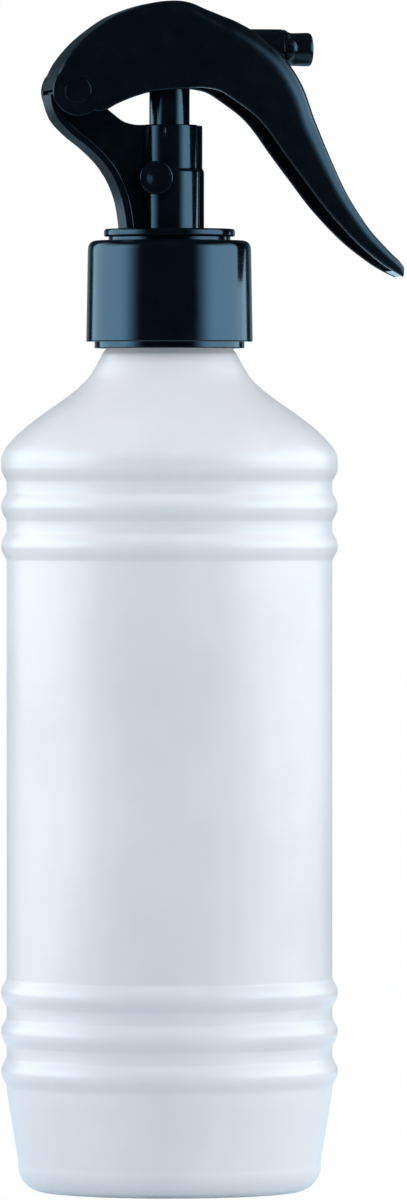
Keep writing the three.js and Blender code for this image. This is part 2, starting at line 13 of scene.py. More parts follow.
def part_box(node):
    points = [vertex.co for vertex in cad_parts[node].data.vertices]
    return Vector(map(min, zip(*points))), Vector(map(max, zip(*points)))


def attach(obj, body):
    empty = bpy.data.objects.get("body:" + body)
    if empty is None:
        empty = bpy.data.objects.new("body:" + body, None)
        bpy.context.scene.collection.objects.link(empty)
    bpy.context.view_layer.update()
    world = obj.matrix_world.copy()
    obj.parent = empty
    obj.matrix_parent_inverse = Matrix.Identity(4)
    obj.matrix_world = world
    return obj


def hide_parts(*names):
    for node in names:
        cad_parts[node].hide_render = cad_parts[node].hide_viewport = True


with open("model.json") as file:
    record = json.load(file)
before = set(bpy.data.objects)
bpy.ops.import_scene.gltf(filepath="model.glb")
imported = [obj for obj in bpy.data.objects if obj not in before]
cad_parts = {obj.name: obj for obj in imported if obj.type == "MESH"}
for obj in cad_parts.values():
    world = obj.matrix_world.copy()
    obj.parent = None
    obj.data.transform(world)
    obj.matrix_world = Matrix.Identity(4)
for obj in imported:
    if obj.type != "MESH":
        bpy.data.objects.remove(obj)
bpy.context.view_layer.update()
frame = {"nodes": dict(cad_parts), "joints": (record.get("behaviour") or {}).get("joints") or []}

MM = 0.001

# Places that the frame gives


def corners(node):
    """The lowest and the highest corner of a CAD node, in millimetres."""
    low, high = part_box(node)
    return low / MM, high / MM


def pivot_of(name):
    """The place of a joint, in millimetres."""
    joint = next(j for j in frame["joints"] if j["name"] == name)
    return Vector(joint["pos_m"]) / MM


rim = corners("bottle")[1].z
closure_bottom = corners("closure")[0].z
closure_top = corners("closure")[1].z
closure_radius = corners("closure")[1].x
spigot_bottom = corners("sprayer_body")[0].z
skirt_bottom = corners("actuator_head")[0].z
head_top = corners("actuator_head")[1].z
skirt_radius = -corners("actuator_head")[0].x
barrel_end = corners("nozzle_cap")[0].x
cap_end = corners("nozzle_cap")[1].x
nozzle_z = (corners("nozzle_cap")[0].z + corners("nozzle_cap")[1].z) / 2
housing_low, housing_high = corners("pump_housing")
tube_low, tube_high = corners("dip_tube")
pivot = pivot_of("trigger_pull")

# Driving sizes of the bottle
body_radius = 32.59
wall = 1.1
rib_height = 1.1
rib_half = 2.9
low_ribs = (24, 31.9, 39.8)
high_ribs = (129.1, 137)
bulge = 144.9
foot_radius = 30.3
foot_corner = 5.2
taper_top = 20.2
ring_inner = 21.5
base_recess = 1
neck_radius = 12.6
neck_bore = 10.8
neck_base = 167.7
neck_lip = 0.9
thread_pitch = 4.23
thread_turns = 1.5
thread_height = 1.1
thread_below_rim = 2.6
foot_lean = 8
ring_slope = 2.2
ring_outer = 24
rib_steps = 14
# The shoulder: radius, height, and the shares of the wall by which its inside lies inward and down
SHOULDER = [
    (29.3, 152.4, 0.6, 0.8),
    (24.6, 156, 0.6, 0.8),
    (19.7, 159.5, 0.6, 0.9),
    (16.5, 162.4, 0.9, 0.7),
    (14.6, 165.3, 1, 0.4),
    (13.35, neck_base, 1, 0),
]

# Driving sizes of the closure
closure_draft = 0.35
closure_edge = 2.7
lip_radius = 15
lip_height = 1.3
closure_wall = 2.45
closure_roof = 1.45
hole_radius = 12.4
closure_thread_height = 0.4
closure_thread_start = 4

# Driving sizes of the sprayer's body
flange_bottom = closure_top + 0.7
flange_top = flange_bottom + 1.6
flange_radius = 13.1
spigot_radius = 12.2
column_radius = 6.1
column_upper = 5.65
column_step = flange_top + 11.4
column_top = flange_top + 20.8
column_bore = 4.3
fin_reach = 6.9
web_thickness = 2.2
arm_width = 9
arm_rim = 1.5
drum_radius = 3.2
ear_radius = 5.1
ear_half = 6.8
pin_radius = 2.6
hole_gap = 0.1
ear_plate = 0.9
ear_proud = 0.03
pin_proud = 0.07
drum_gap = 0.3
boss_radius = 3.35
boss_reach = 7
boss_x = -4
boss_depth = 9
boss_bore = column_bore + 0.5
drop_place = Vector((-2, -5.33, -1.5))
drop_half = (0.28, 1.05)
boss_z = flange_top + 10.1

# Driving sizes of the lever, the head and the nozzle
lever_wall = 1.3
lever_roof = 1.4
lever_edge = 0.45
lever_steps = 120
tip_start = 0.955
slot_gap = 0.45
slot_length = 12
slot_start = 5.3
slot_play = 1.2
slot_rise = 14
slot_dip = 2
hole_reach = 9
ear_depth = 0.3
ear_inset = 0.1
pad_x = -1.5
pad_radius = 1.5
pad_gap = 0.15
pad_height = 2.3
pad_width = 8
skirt_wall = 1
spud_radius = 2.2
spud_bore = 0.8
spud_length = 3.9
barrel_radius = 4.06
cap_radius = 3.42
cap_shoulder = 1.5
cap_bore = 2.35
pad_disc = 2.2
pad_bevel = 0.8
pad_swing = 4.36
pad_notches = 4
notch_pitch = 1.05
notch_depth = 0.35
notch_length = 0.9

# Driving sizes of the pump
pump_radius = 5.2
gasket_height = 1.4
pump_rings = 4
ring_pitch = 6
tube_bore = 1.7
tube_slant = 3.2

# Camera and light
camera_turn = math.radians(-11.5)
camera_distance = 2400
eye_height = 148
picture_height = 240
picture_centre = (6.8, 118.3)
tent_foot = 0.3
tent_radius = 1500
tent_wall = 1700
tent_top = 1900
tent_colour = (0.53, 0.8, 1.0, 1.0)
tent_light = 0.035
lamp_colour = (1.0, 0.9, 0.85)
lamp_target = 0.11
fill_colour = (0.67, 0.87, 1.0, 1.0)
fill_strength = 0.4
floor_white = 0.985
floor_radius = 6000
# The tent's light, as values before and after a range: turns are degrees from the camera, the rest is metres
right_box = (34, 66)
left_box = (40, 74)
box_end = (132, 138, 1, 0)
box_light = (60, 130, 6.1, 3.2)
box_top = (0.5, 1.6, 1, 0)
box_foot = (0.001, 0.1)
glow_turn = (146, 156)
glow_foot = (0.0, 0.16, 0.08, 0.4)
glow_top = (0.22, 0.55, 1, 0.05)
table_reach = (0.25, 0.6, 1, 0)
table_height = (0.001, 0.01, 1, 0)
strip_turn = (171, 176)
strip_reach = (0.6, 0.7)
strip_height = (0.1, 0.2, 1.8, 0)
# Turn from the camera in degrees, distance and height in millimetres, size in metres, and watts
LAMPS = {
    "lamp_right": (92, 900, 350, (0.9, 1.4), 7.9),
    "lamp_left": (-96, 900, 350, (0.9, 1.4), 8.1),
    "lamp_front": (5, 1400, 160, (0.7, 0.7), 0.3),
    "lamp_top": (0, 380, 560, (0.5, 0.3), 1.3),
}


# Outlines


def rounded(points, closed=True, steps=4):
    """A row of (u, v) points. A point's third value is the length over which its corner is rounded."""
    result = []
    for i, point in enumerate(points):
        here = Vector(point[:2])
        reach = point[2] if len(point) > 2 else 0
        at_end = not closed and i in (0, len(points) - 1)
        if not reach or at_end:
            result.append(here)
            continue
        before = Vector(points[i - 1][:2]) - here
        after = Vector(points[(i + 1) % len(points)][:2]) - here
        reach = min(reach, before.length * 0.49, after.length * 0.49)
        start = here + before.normalized() * reach
        end = here + after.normalized() * reach
        for k in range(steps + 1):
            t = k / steps
            result.append(start * (1 - t) ** 2 + here * (2 * t * (1 - t)) + end * t**2)
    return result


def arc(centre, radius, start, end, steps):
    """Points on an arc, from one angle to another in degrees."""
    angles = [math.radians(start + (end - start) * i / steps) for i in range(steps + 1)]
    return [Vector((centre[0] + radius * math.cos(a), centre[1] + radius * math.sin(a))) for a in angles]


def curve_point(points, t):
    """A point on the smooth curve through points, where t runs from 0 to 1."""
    place = min(max(t, 0), 1) * (len(points) - 1)
    i = min(int(place), len(points) - 2)
    u = place - i
    p0, p1 = points[max(i - 1, 0)], points[i]
    p2, p3 = points[i + 1], points[min(i + 2, len(points) - 1)]
    slope1, slope2 = (p2 - p0) / 2, (p3 - p1) / 2
    bend = (2 * p1 - 2 * p2 + slope1 + slope2) * u**3
    return bend + (3 * p2 - 3 * p1 - 2 * slope1 - slope2) * u**2 + slope1 * u + p1


def smooth(points, steps):
    """Points on the smooth curve through points."""
    vectors = [Vector(p) for p in points]
    return [curve_point(vectors, i / steps) for i in range(steps + 1)]


# Solids


AXES = {
    "X": Matrix.Rotation(math.radians(90), 4, "Y"),
    "Y": Matrix.Rotation(math.radians(-90), 4, "X"),
    "Z": Matrix.Identity(4),
}


def lathe(profile, steps=96, axis="Z", centre=(0, 0, 0), closed=False):
    """A solid of revolution from (radius, height) points."""
    bm = bmesh.new()
    verts = [bm.verts.new((p[0], 0, p[1])) for p in profile]
    pairs = list(zip(verts, verts[1:]))
    if closed:
        pairs.append((verts[-1], verts[0]))
    edges = [bm.edges.new(pair) for pair in pairs]
    bmesh.ops.spin(
        bm, geom=verts + edges, cent=(0, 0, 0), axis=(0, 0, 1), angle=math.tau, steps=steps, use_merge=True
    )
    bmesh.ops.remove_doubles(bm, verts=bm.verts, dist=1e-4)
    bmesh.ops.transform(bm, matrix=Matrix.Translation(centre) @ AXES[axis], verts=bm.verts)
    bmesh.ops.recalc_face_normals(bm, faces=bm.faces)
    return bm


def plate(outline, width, bevel=0.3, offset=0):
    """An outline in the XZ plane, made thick along Y, with rounded rims."""
    bm = bmesh.new()
    face = bm.faces.new([bm.verts.new((p[0], offset - width / 2, p[1])) for p in outline])
    made = bmesh.ops.extrude_face_region(bm, geom=[face])["geom"]
    moved = [v for v in made if isinstance(v, bmesh.types.BMVert)]
    bmesh.ops.translate(bm, verts=moved, vec=(0, width, 0))
    bmesh.ops.recalc_face_normals(bm, faces=bm.faces)
    if bevel:
        rims = [e for e in bm.edges if abs(e.verts[0].co.y - e.verts[1].co.y) < 1e-6]
        settings = {"segments": 3, "profile": 0.5, "affect": "EDGES", "material": -1, "clamp_overlap": True}
        bmesh.ops.bevel(bm, geom=rims, offset=bevel, **settings)
    return bm


def loft(rings):
    """A closed solid through rings that all have the same number of points."""
    bm = bmesh.new()
    rows = [[bm.verts.new(p) for p in ring] for ring in rings]
    for low, high in zip(rows, rows[1:]):
        for j in range(len(low)):
            k = (j + 1) % len(low)
            bm.faces.new((low[j], low[k], high[k], high[j]))
    bm.faces.new(rows[0])
    bm.faces.new(rows[-1])
    bmesh.ops.recalc_face_normals(bm, faces=bm.faces)
    return bm


def helix(root, crest, pitch, turns, start, height, steps=48, run_out=8):
    """A screw thread's bead, run out at both ends, on a cylinder of radius root."""
    rings = []
    count = int(turns * steps)
    for i in range(count + 1):
        turn = math.tau * i / steps
        share = min(1, i / run_out, (count - i) / run_out)
        top = root + (crest - root) * (0.05 + 0.95 * share)
        sunk = root - 0.3 * (1 if crest > root else -1)
        section = [(sunk, -0.62), (top, -0.3), (top, 0.2), (sunk, 0.42)]
        z = start + pitch * i / steps
        rings.append([(r * math.cos(turn), r * math.sin(turn), z + dz * height) for r, dz in section])
    return loft(rings)


def mesh_object(name, bm):
    """An object in the scene with the mesh of a bmesh, which is used up."""
    mesh = bpy.data.meshes.new(name)
    bm.to_mesh(mesh)
    bm.free()
    obj = bpy.data.objects.new(name, mesh)
    bpy.context.scene.collection.objects.link(obj)
    return obj


def sized_object(name, bm, material):
    """The same from millimetres to metres, with its material."""
    bmesh.ops.scale(bm, vec=(MM, MM, MM), verts=bm.verts)
    obj = mesh_object(name, bm)
    obj.data.materials.append(material)
    return obj


def piece(name, bm, material, body, *nodes, sharp=35):
    """Makes a bmesh a piece that rides on a body and stands for nodes."""
    obj = sized_object(name, bm, material)
    obj.data.shade_smooth()
    obj.data.set_sharp_from_angle(angle=math.radians(sharp))
    normals = obj.modifiers.new("normals", "WEIGHTED_NORMAL")
    normals.keep_sharp = True
    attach(obj, body)
    if nodes:
        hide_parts(*nodes)


def combined(base, parts, operation):
    """base joined with, or cut by, each of the parts, as one bmesh."""
    holder = mesh_object("holder", base)
    others = [mesh_object("part", part) for part in parts]
    for other in others:
        step = holder.modifiers.new("step", "BOOLEAN")
        step.operation = operation
        step.solver = "EXACT"
        step.use_self = True
        step.object = other
    bpy.context.view_layer.update()
    evaluated = holder.evaluated_get(bpy.context.evaluated_depsgraph_get())
    result = bmesh.new()
    result.from_mesh(evaluated.to_mesh())
    evaluated.to_mesh_clear()
    for obj in [holder, *others]:
        mesh = obj.data
        bpy.data.objects.remove(obj)
        bpy.data.meshes.remove(mesh)
    return result


# Materials


class Value:
    """One output of a tree's nodes. The operators add Math nodes, so that a mask reads as a formula."""

    def __init__(self, tree, socket):
        self.tree = tree
        self.socket = socket

    def maths(self, operation, *values):
        return self.tree.node("ShaderNodeMath", 0, dict(enumerate(values)), operation=operation)

    def __add__(self, other):
        return self.maths("ADD", self, other)

    def __radd__(self, other):
        return self.maths("ADD", other, self)

    def __sub__(self, other):
        return self.maths("SUBTRACT", self, other)

    def __rsub__(self, other):
        return self.maths("SUBTRACT", other, self)

    def __mul__(self, other):
        return self.maths("MULTIPLY", self, other)

    def __rmul__(self, other):
        return self.maths("MULTIPLY", other, self)

    def size(self):
        return self.maths("ABSOLUTE", self)

    def ramp(self, low, high, start=0.0, end=1.0):
        """Runs smoothly from start to end while the value goes from low to high."""
        inputs = {0: self, 1: low, 2: high, 3: start, 4: end}
        return self.tree.node("ShaderNodeMapRange", 0, inputs, interpolation_type="SMOOTHSTEP")

    def degrees(self, low, high, start=0.0, end=1.0):
        """The same for an angle, with low and high in degrees."""
        return self.ramp(math.radians(low), math.radians(high), start, end)


class Tree:
    """The nodes of a material or of the world."""

    def __init__(self, owner):
        owner.use_nodes = True
        self.owner = owner
        self.nodes = owner.node_tree.nodes
        self.links = owner.node_tree.links

    def put(self, socket, value):
        if isinstance(value, Value):
            self.links.new(value.socket, socket)
        else:
            socket.default_value = value

    def add(self, kind, inputs=None, **settings):
        """A new node, with its settings made first and then its sockets filled."""
        made = self.nodes.new(kind)
        for key, value in settings.items():
            setattr(made, key, value)
        for key, value in (inputs or {}).items():
            self.put(made.inputs[key], value)
        return made

    def node(self, kind, output=0, inputs=None, **settings):
        """One output of a new node."""
        return Value(self, self.add(kind, inputs, **settings).outputs[output])

    def shader(self, name, **values):
        """The shader that is there from the start, with values for its sockets."""
        for key, value in values.items():
            self.put(self.nodes[name].inputs[key.replace("_", " ")], value)
        return Value(self, self.nodes[name].outputs[0])

    def blend(self, factor, one, other):
        """One shader for a factor of 0, and the other for 1."""
        return self.node("ShaderNodeMixShader", 0, {0: factor, 1: one, 2: other})

    def show(self, output, surface):
        self.put(self.nodes[output].inputs["Surface"], surface)

    def seen_directly(self):
        """1 for rays that come from the camera or by way of gloss or glass, and 0 for diffuse light."""
        path = self.add("ShaderNodeLightPath")
        total = 0.0
        for name in ("Is Camera Ray", "Is Glossy Ray", "Is Transmission Ray"):
            inputs = {0: total, 1: Value(self, path.outputs[name])}
            total = self.node("ShaderNodeMath", 0, inputs, operation="ADD", use_clamp=True)
        return total

    def place(self):
        """The point in the object's own space, in metres."""
        return self.node("ShaderNodeTexCoord", "Object")

    def axes(self):
        """The three coordinates of the point."""
        split = self.add("ShaderNodeSeparateXYZ", {0: self.place()})
        return [Value(self, out) for out in split.outputs]

    def noise(self, size, detail=3.0, stretch=(1, 1, 1)):
        """Noise with features of that size in millimetres, from 0 to 1."""
        scaled = self.node("ShaderNodeVectorMath", 0, {0: self.place(), 1: stretch}, operation="MULTIPLY")
        inputs = {"Vector": scaled, "Scale": 1 / (size * MM), "Detail": detail}
        return self.node("ShaderNodeTexNoise", 0, inputs)

    def cells(self, size):
        """The distance to the nearest of scattered points, that size apart in millimetres."""
        return self.node("ShaderNodeTexVoronoi", 0, {"Vector": self.place(), "Scale": 1 / (size * MM)})

    def mix(self, factor, one, other):
        return self.node("ShaderNodeMix", 2, {0: factor, 6: one, 7: other}, data_type="RGBA")

    def bump(self, height, depth):
        """A normal from a height between 0 and 1, with that depth in millimetres."""
        return self.node("ShaderNodeBump", 0, {"Height": height, "Distance": depth * MM, "Strength": 1.0})

    def finish(self, **values):
        """The material, with values for the sockets of its own shader."""
        self.shader("Principled BSDF", **values)
        return self.owner


def material_tree(slot):
    """The tree of a new material, which is named for its slot in the record."""
    material = bpy.data.materials.new(slot)
    material["slot"] = slot
    return Tree(material)


def colour(red, green, blue):
    return (red, green, blue, 1.0)


def white_bottle():
    """Satin white blown plastic: faintly uneven, with a fine skin and the mould's parting line."""
    tree = material_tree("bottle_white")
    y = tree.axes()[1]
    cloud = tree.noise(38, 4)
    grain = tree.noise(0.55, 2)
    drawn = tree.noise(9, 3, (1, 1, 0.25))
    line = y.size().ramp(0.0001, 0.00035, 1, 0)
    low = colour(0.80, 0.835, 0.875)
    high = colour(0.87, 0.895, 0.925)
    rough = drawn.ramp(0.3, 0.7, 0.27, 0.3) + grain * 0.03
    height = grain * 0.1 + drawn * 0.05 + line * 0.6
    return tree.finish(
        Base_Color=tree.mix(cloud.ramp(0.35, 0.65), low, high),
        Roughness=rough,
        Normal=tree.bump(height, 0.035),
        Specular_IOR_Level=0.4,
    )


def black_plastic(slot, size, rough, sheen):
    """Glossy black moulded plastic: flow marks from the mould, and a little haze in the gloss."""
    tree = material_tree(slot)
    flow = tree.noise(size, 3, (1, 1, 0.5))
    haze = tree.noise(size * 0.3, 5)
    grain = tree.noise(0.4, 2)
    deep = colour(0.0016, 0.0031, 0.0048)
    pale = colour(0.0023, 0.0042, 0.0062)
    tint = colour(0.55, 0.82, 1.0)
    return tree.finish(
        Base_Color=tree.mix(haze.ramp(0.35, 0.65), deep, pale),
        Roughness=haze.ramp(0.3, 0.75, rough, rough + 0.04) + grain * 0.02,
        Normal=tree.bump(flow * 0.8 + grain * 0.02, 0.02),
        Specular_Tint=tint,
        Specular_IOR_Level=sheen,
    )


def natural_plastic(slot, low, high):
    """Undyed plastic of the pump: milky, with soft clouds and faint drawing marks along Z."""
    tree = material_tree(slot)
    cloud = tree.noise(6, 4)
    drawn = tree.noise(1.2, 3, (1, 1, 0.1))
    return tree.finish(
        Base_Color=tree.mix(cloud, low, high),
        Roughness=drawn.ramp(0.3, 0.7, 0.28, 0.42),
        Normal=tree.bump(drawn, 0.02),
    )


def foam():
    """The gasket's white foam, with fine closed cells."""
    tree = material_tree("gasket_foam")
    cells = tree.cells(0.35)
    return tree.finish(
        Base_Color=tree.mix(cells, colour(0.88, 0.88, 0.85), colour(0.78, 0.78, 0.75)),
        Roughness=cells.ramp(0.0, 0.6, 0.8, 0.95),
        Normal=tree.bump(cells, 0.06),
    )


def steel(slot, size):
    """Bright stainless steel with the marks of drawing or rolling."""
    tree = material_tree(slot)
    marks = tree.noise(size, 4, (1, 1, 3))
    return tree.finish(
        Base_Color=tree.mix(marks, colour(0.62, 0.62, 0.61), colour(0.72, 0.72, 0.72)),
        Roughness=marks.ramp(0.2, 0.8, 0.14, 0.3),
        Normal=tree.bump(marks, 0.01),
        Metallic=1.0,
    )


bottle_white = white_bottle()
closure_black = black_plastic("closure_black", 14, 0.1, 0.5)
sprayer_black = black_plastic("sprayer_black", 9, 0.12, 0.42)
lever_black = black_plastic("lever_black", 12, 0.17, 0.36)
head_black = black_plastic("head_black", 8, 0.13, 0.5)
nozzle_black = black_plastic("nozzle_black", 6, 0.2, 0.36)
pump_natural = natural_plastic("pump_natural", colour(0.78, 0.79, 0.77), colour(0.86, 0.87, 0.85))
tube_natural = natural_plastic("tube_natural", colour(0.72, 0.74, 0.73), colour(0.8, 0.82, 0.81))
gasket_foam = foam()
spring_steel = steel("spring_steel", 0.3)
ball_steel = steel("ball_steel", 0.8)


# The bottle


def rib(centre, radius):
    """One rib's profile: a rounded bead on the body's radius."""
    points = []
    for i in range(rib_steps + 1):
        u = 2 * i / rib_steps - 1
        points.append(Vector((radius + rib_height * (1 - u * u) ** 1.4, centre + u * rib_half)))
    return points


def bottle_side(inset):
    """The bottle's side from its foot to its neck, or the inside of it."""
    radius = body_radius - inset
    corner = (foot_radius - foot_corner, foot_corner)
    crest = radius + rib_height
    side = arc(corner, foot_corner - inset, -90, foot_lean, 10)
    side += rounded([side.pop(), (radius - 0.2, taper_top - 1.6, 1.5), (radius, taper_top + 0.4)], False)
    for centre in (*low_ribs, *high_ribs):
        side += rib(centre, radius)
    side += rib(bulge, radius)[: rib_steps // 2 + 1]
    slope = [(crest, bulge + 0.1), (crest - 0.12, bulge + 2), (crest - 1.2, bulge + 4.2)]
    slope += [(r - inset * inward, z - inset * down) for r, z, inward, down in SHOULDER]
    return side + smooth(slope, 40)[1:]


def bottle_profile():
    panel = ring_inner - ring_slope
    base = [(0, base_recess), (panel, base_recess, 1.2), (ring_inner, 0, 0.8), (ring_outer, 0)]
    mouth = [(neck_radius, neck_base + neck_lip), (neck_radius, rim, 0.5), (neck_bore, rim, 0.4)]
    outside = rounded(base, False) + bottle_side(0) + rounded(mouth, False)
    inside = [Vector((0, base_recess + wall)), Vector((panel, base_recess + wall))]
    inside += [Vector((ring_inner, wall)), *bottle_side(wall), Vector((neck_bore, neck_base + 2))]
    return outside + inside[::-1]


def build_bottle():
    piece("bottle_shell", lathe(bottle_profile(), 160), bottle_white, "bottle", "bottle", sharp=50)
    start = rim - thread_below_rim - thread_turns * thread_pitch
    thread = helix(neck_radius, neck_radius + thread_height, thread_pitch, thread_turns, start, 1.6)
    piece("neck_thread", thread, bottle_white, "bottle")
    root, crest, low = neck_radius - 0.2, neck_radius + 0.8, neck_base + 2.6
    bead = [(root, low), (crest, low + 0.3, 0.3), (crest, low + 1, 0.3), (root, low + 1.3)]
    piece("neck_bead", lathe(rounded(bead), closed=True), bottle_white, "bottle")


# The closure


def build_closure():
    top = closure_radius - closure_draft
    inner = closure_radius - closure_wall
    foot = closure_bottom + lip_height
    profile = rounded(
        [
            (inner, closure_bottom, 0.2),
            (lip_radius, closure_bottom, 0.25),
            (lip_radius, foot),
            (closure_radius, foot, 0.3),
            (top, closure_top, closure_edge),
            (hole_radius, closure_top, 0.2),
            (hole_radius, closure_top - closure_roof),
            (inner, closure_top - closure_roof, 0.4),
        ],
        steps=8,
    )
    piece("closure_shell", lathe(profile, 128, closed=True), closure_black, "closure", "closure")
    start = closure_bottom + closure_thread_start
    thread = helix(inner, inner - closure_thread_height, thread_pitch, thread_turns + 0.5, start, 1.5)
    piece("closure_thread", thread, closure_black, "closure")


# The sprayer's body


def spray_piece(name, bm, sharp=35):
    piece(name, bm, sprayer_black, "sprayer", "sprayer_body", sharp=sharp)


def back_curve():
    """The arm's back in side view, from the lever's stop down to the flange."""
    places = [
        (-5.3, -0.8),
        (-5, -2.6),
        (-4.4, -4.4),
        (-3.3, -6.4),
        (-0.7, -9),
        (2.6, -11.6),
        (5.7, -14.7),
        (8, -18.3),
        (9.5, -22.5),
        (10.3, -27.8),
    ]
    return smooth([(pivot.x + x, pivot.z + z) for x, z in places], 48)


def build_column():
    profile = rounded(
        [
            (column_bore, flange_top + 2.6),
            (column_radius, flange_top - 0.3),
            (column_radius, column_step, 0.15),
            (column_upper, column_step + 0.65, 0.15),
            (column_upper, column_top, 0.3),
            (column_bore, column_top, 0.3),
        ],
    )
    spray_piece("spray_column", lathe(profile, 96, closed=True))
    fin = rounded(
        [
            (boss_bore, flange_top - 0.3),
            (fin_reach, flange_top - 0.3),
            (fin_reach, column_step, 0.2),
            (fin_reach - 0.35, column_step + 0.65, 0.2),
            (fin_reach - 0.35, column_top - 0.15, 0.4),
            (boss_bore, column_top - 0.15),
        ],
    )
    spray_piece("spray_fin", plate(fin, web_thickness, 0.25))
    across, tall = drop_half
    angles = [math.pi * i / 10 for i in range(11)]
    drop = lathe([(across * math.sin(a), tall * math.cos(a)) for a in angles], 16)
    bmesh.ops.translate(drop, verts=drop.verts, vec=drop_place + Vector((0, 0, column_top)))
    spray_piece("spray_drop", drop)


def build_flange():
    inner = housing_high.x * 0.4
    profile = rounded(
        [
            (inner, spigot_bottom),
            (spigot_radius, spigot_bottom, 0.3),
            (spigot_radius, flange_bottom, 0.1),
            (flange_radius, flange_bottom, 0.4),
            (flange_radius, flange_top, 0.6),
            (inner, flange_top),
        ],
    )
    spray_piece("spray_flange", lathe(profile, 128, closed=True))


def build_arm():
    back = back_curve()
    inner = []
    for i, point in enumerate(back):
        along = back[min(i + 1, len(back) - 1)] - back[max(i - 1, 0)]
        along.normalize()
        inner.append(point + Vector((-along.y, along.x)) * arm_rim)
    spray_piece("arm_rim", plate(back + inner[::-1], arm_width, 0.4), sharp=40)
    half = [(p + q) / 2 for p, q in zip(back, inner)]
    top_edge = rounded(
        [
            (-boss_bore, column_top),
            (pivot.x + 12.8, column_top - 0.1, 1.4),
            (pivot.x + 10.2, column_top + 0.5, 1.2),
            (pivot.x + 3.2, pivot.z - 0.5),
        ],
        False,
    )
    foot = Vector((-boss_bore, flange_top - 0.3))
    spray_piece("arm_web", plate(half + [foot] + top_edge, web_thickness, 0.15), sharp=40)
    head = arc((pivot.x, pivot.z), ear_radius - 0.7, -176, -6, 16)
    spray_piece("arm_head", plate(head, arm_width, 0.3))
    reach = ear_half - lever_wall - drum_gap
    drum = rounded([(0, -reach), (drum_radius, -reach, 0.3), (drum_radius, reach, 0.3), (0, reach)], False)
    centre = (pivot.x, 0, pivot.z)
    spray_piece("arm_drum", lathe(drum, 64, "Y", centre))
    reach = ear_half + pin_proud
    pin = [(0, -reach + 0.15), (pin_radius - 0.6, -reach, 0.5), (pin_radius, -reach, 0.15)]
    pin += [(r, -y, *more) for r, y, *more in pin[::-1]]
    spray_piece("pivot_pin", lathe(rounded(pin, False), 64, "Y", centre))


def build_boss():
    half = [(0, boss_reach - 0.35), (0.7, boss_reach - 0.3, 0.4), (boss_radius * 0.66, boss_reach, 0.35)]
    half += [(boss_radius, boss_reach - 0.05, 0.3), (boss_radius, 0)]
    profile = rounded(half, False, 6)
    mirrored = [Vector((p.x, -p.y)) for p in profile[::-1]]
    boss = lathe(profile + mirrored[1:], 64, "Y", (boss_x, 0, boss_z))
    low, high = boss_z - boss_depth, boss_z + boss_depth
    hollow = lathe([(0, low), (boss_bore, low), (boss_bore, high), (0, high)], 64)
    boss = combined(boss, [hollow], "DIFFERENCE")
    spray_piece("spray_boss", boss)


# The lever

# Millimetres from the pivot: the back, the open edge, half the width, and the radius of the back's corners
LEVER_STATIONS = [
    (-5.1, 0.1, -2.4, -0.6, 6.8, 0.9),
    (-4.1, 3.1, 1, -3.2, 6.8, 1.2),
    (-2.7, 5.8, 4.6, -4.2, 6.8, 1.4),
    (-0.1, 9, 7.8, -2.7, 6.85, 1.6),
    (3, 11.8, 10.6, -1.5, 6.9, 1.8),
    (7.2, 14.7, 12.7, -0.8, 6.95, 2),
    (11.2, 16.4, 14.9, -0.2, 7, 2.2),
    (15.3, 17.6, 17, 0.1, 7.1, 2.4),
    (19.6, 18.1, 19.2, 0.25, 7.15, 2.6),
    (23, 17.75, 21.5, 0.4, 7.25, 2.9),
    (26.2, 16.5, 24.3, 0.7, 7.4, 3.5),
    (29.4, 15.3, 26.5, 0.55, 7.5, 4),
    (32.8, 14, 29, -0.1, 7.65, 4.5),
    (37.1, 11.6, 31.9, -1.9, 7.7, 4.8),
    (42.2, 7.3, 35.7, -4.7, 7.7, 4.8),
    (46.1, 1.4, 38.4, -7.6, 7.7, 4.8),
    (48.6, -5.3, 41.8, -12.3, 7.7, 4.8),
    (51.4, -12.5, 45.9, -17.7, 7.7, 4.6),
    (54.9, -20.2, 50.4, -23.5, 7.5, 4),
    (59.3, -27, 56.2, -29.6, 6.9, 3),
    (63.6, -31.6, 61.4, -33.8, 6, 2.2),
    (65.8, -33.6, 64.4, -35.7, 5.4, 1.9),
    (66.9, -34.9, 66.7, -36.9, 4.7, 1.6),
]


def lever_ring(t):
    """The lever's section at t of its length: a channel with rounded back corners and free edges."""
    columns = [[Vector((s[i], s[i + 1])) for s in LEVER_STATIONS] for i in (0, 2, 4)]
    back, edge, shape = (curve_point(column, t) for column in columns)
    half, corner = shape
    depth = (edge - back).length
    down = (edge - back).normalized()
    roof = lever_roof if t < tip_start else depth - 0.1
    inner = half - lever_wall
    inner_corner = max(0.3, corner - lever_roof)
    section = rounded(
        [
            (-half, depth, lever_edge),
            (-half, 0, corner),
            (half, 0, corner),
            (half, depth, lever_edge),
            (inner, depth, lever_edge),
            (inner, roof, inner_corner),
            (-inner, roof, inner_corner),
            (-inner, depth, lever_edge),
        ],
        steps=6,
    )
    return [(pivot.x + back.x + down.x * d, y, pivot.z + back.y + down.y * d) for y, d in section]


def nozzle_slot():
    """The space that the barrel and the turning cap need in the lever's back."""
    bottom = nozzle_z - barrel_radius - slot_gap
    front = barrel_end + slot_length
    top = nozzle_z + slot_rise
    outline = [(slot_start, nozzle_z - slot_dip), (barrel_end, bottom), (front, bottom)]
    outline += [(front, top), (slot_start, top)]
    return plate(outline, 2 * barrel_radius + slot_play, 0)


def pivot_lathe(profile, side, closed=False):
    """A round form about the lever's pivot, on one side of the lever."""
    points = [Vector((p.x, p.y * side)) for p in profile]
    return lathe(points, 96, "Y", (pivot.x, 0, pivot.z), closed=closed)


def ear(side):
    """A round ear on one side of the lever, just under its outer face."""
    radius = ear_radius - ear_inset
    outer = ear_half - ear_depth
    inner = ear_half - lever_wall
    return pivot_lathe(rounded([(0, inner), (radius, inner, 0.2), (radius, outer), (0, outer)], False), side)


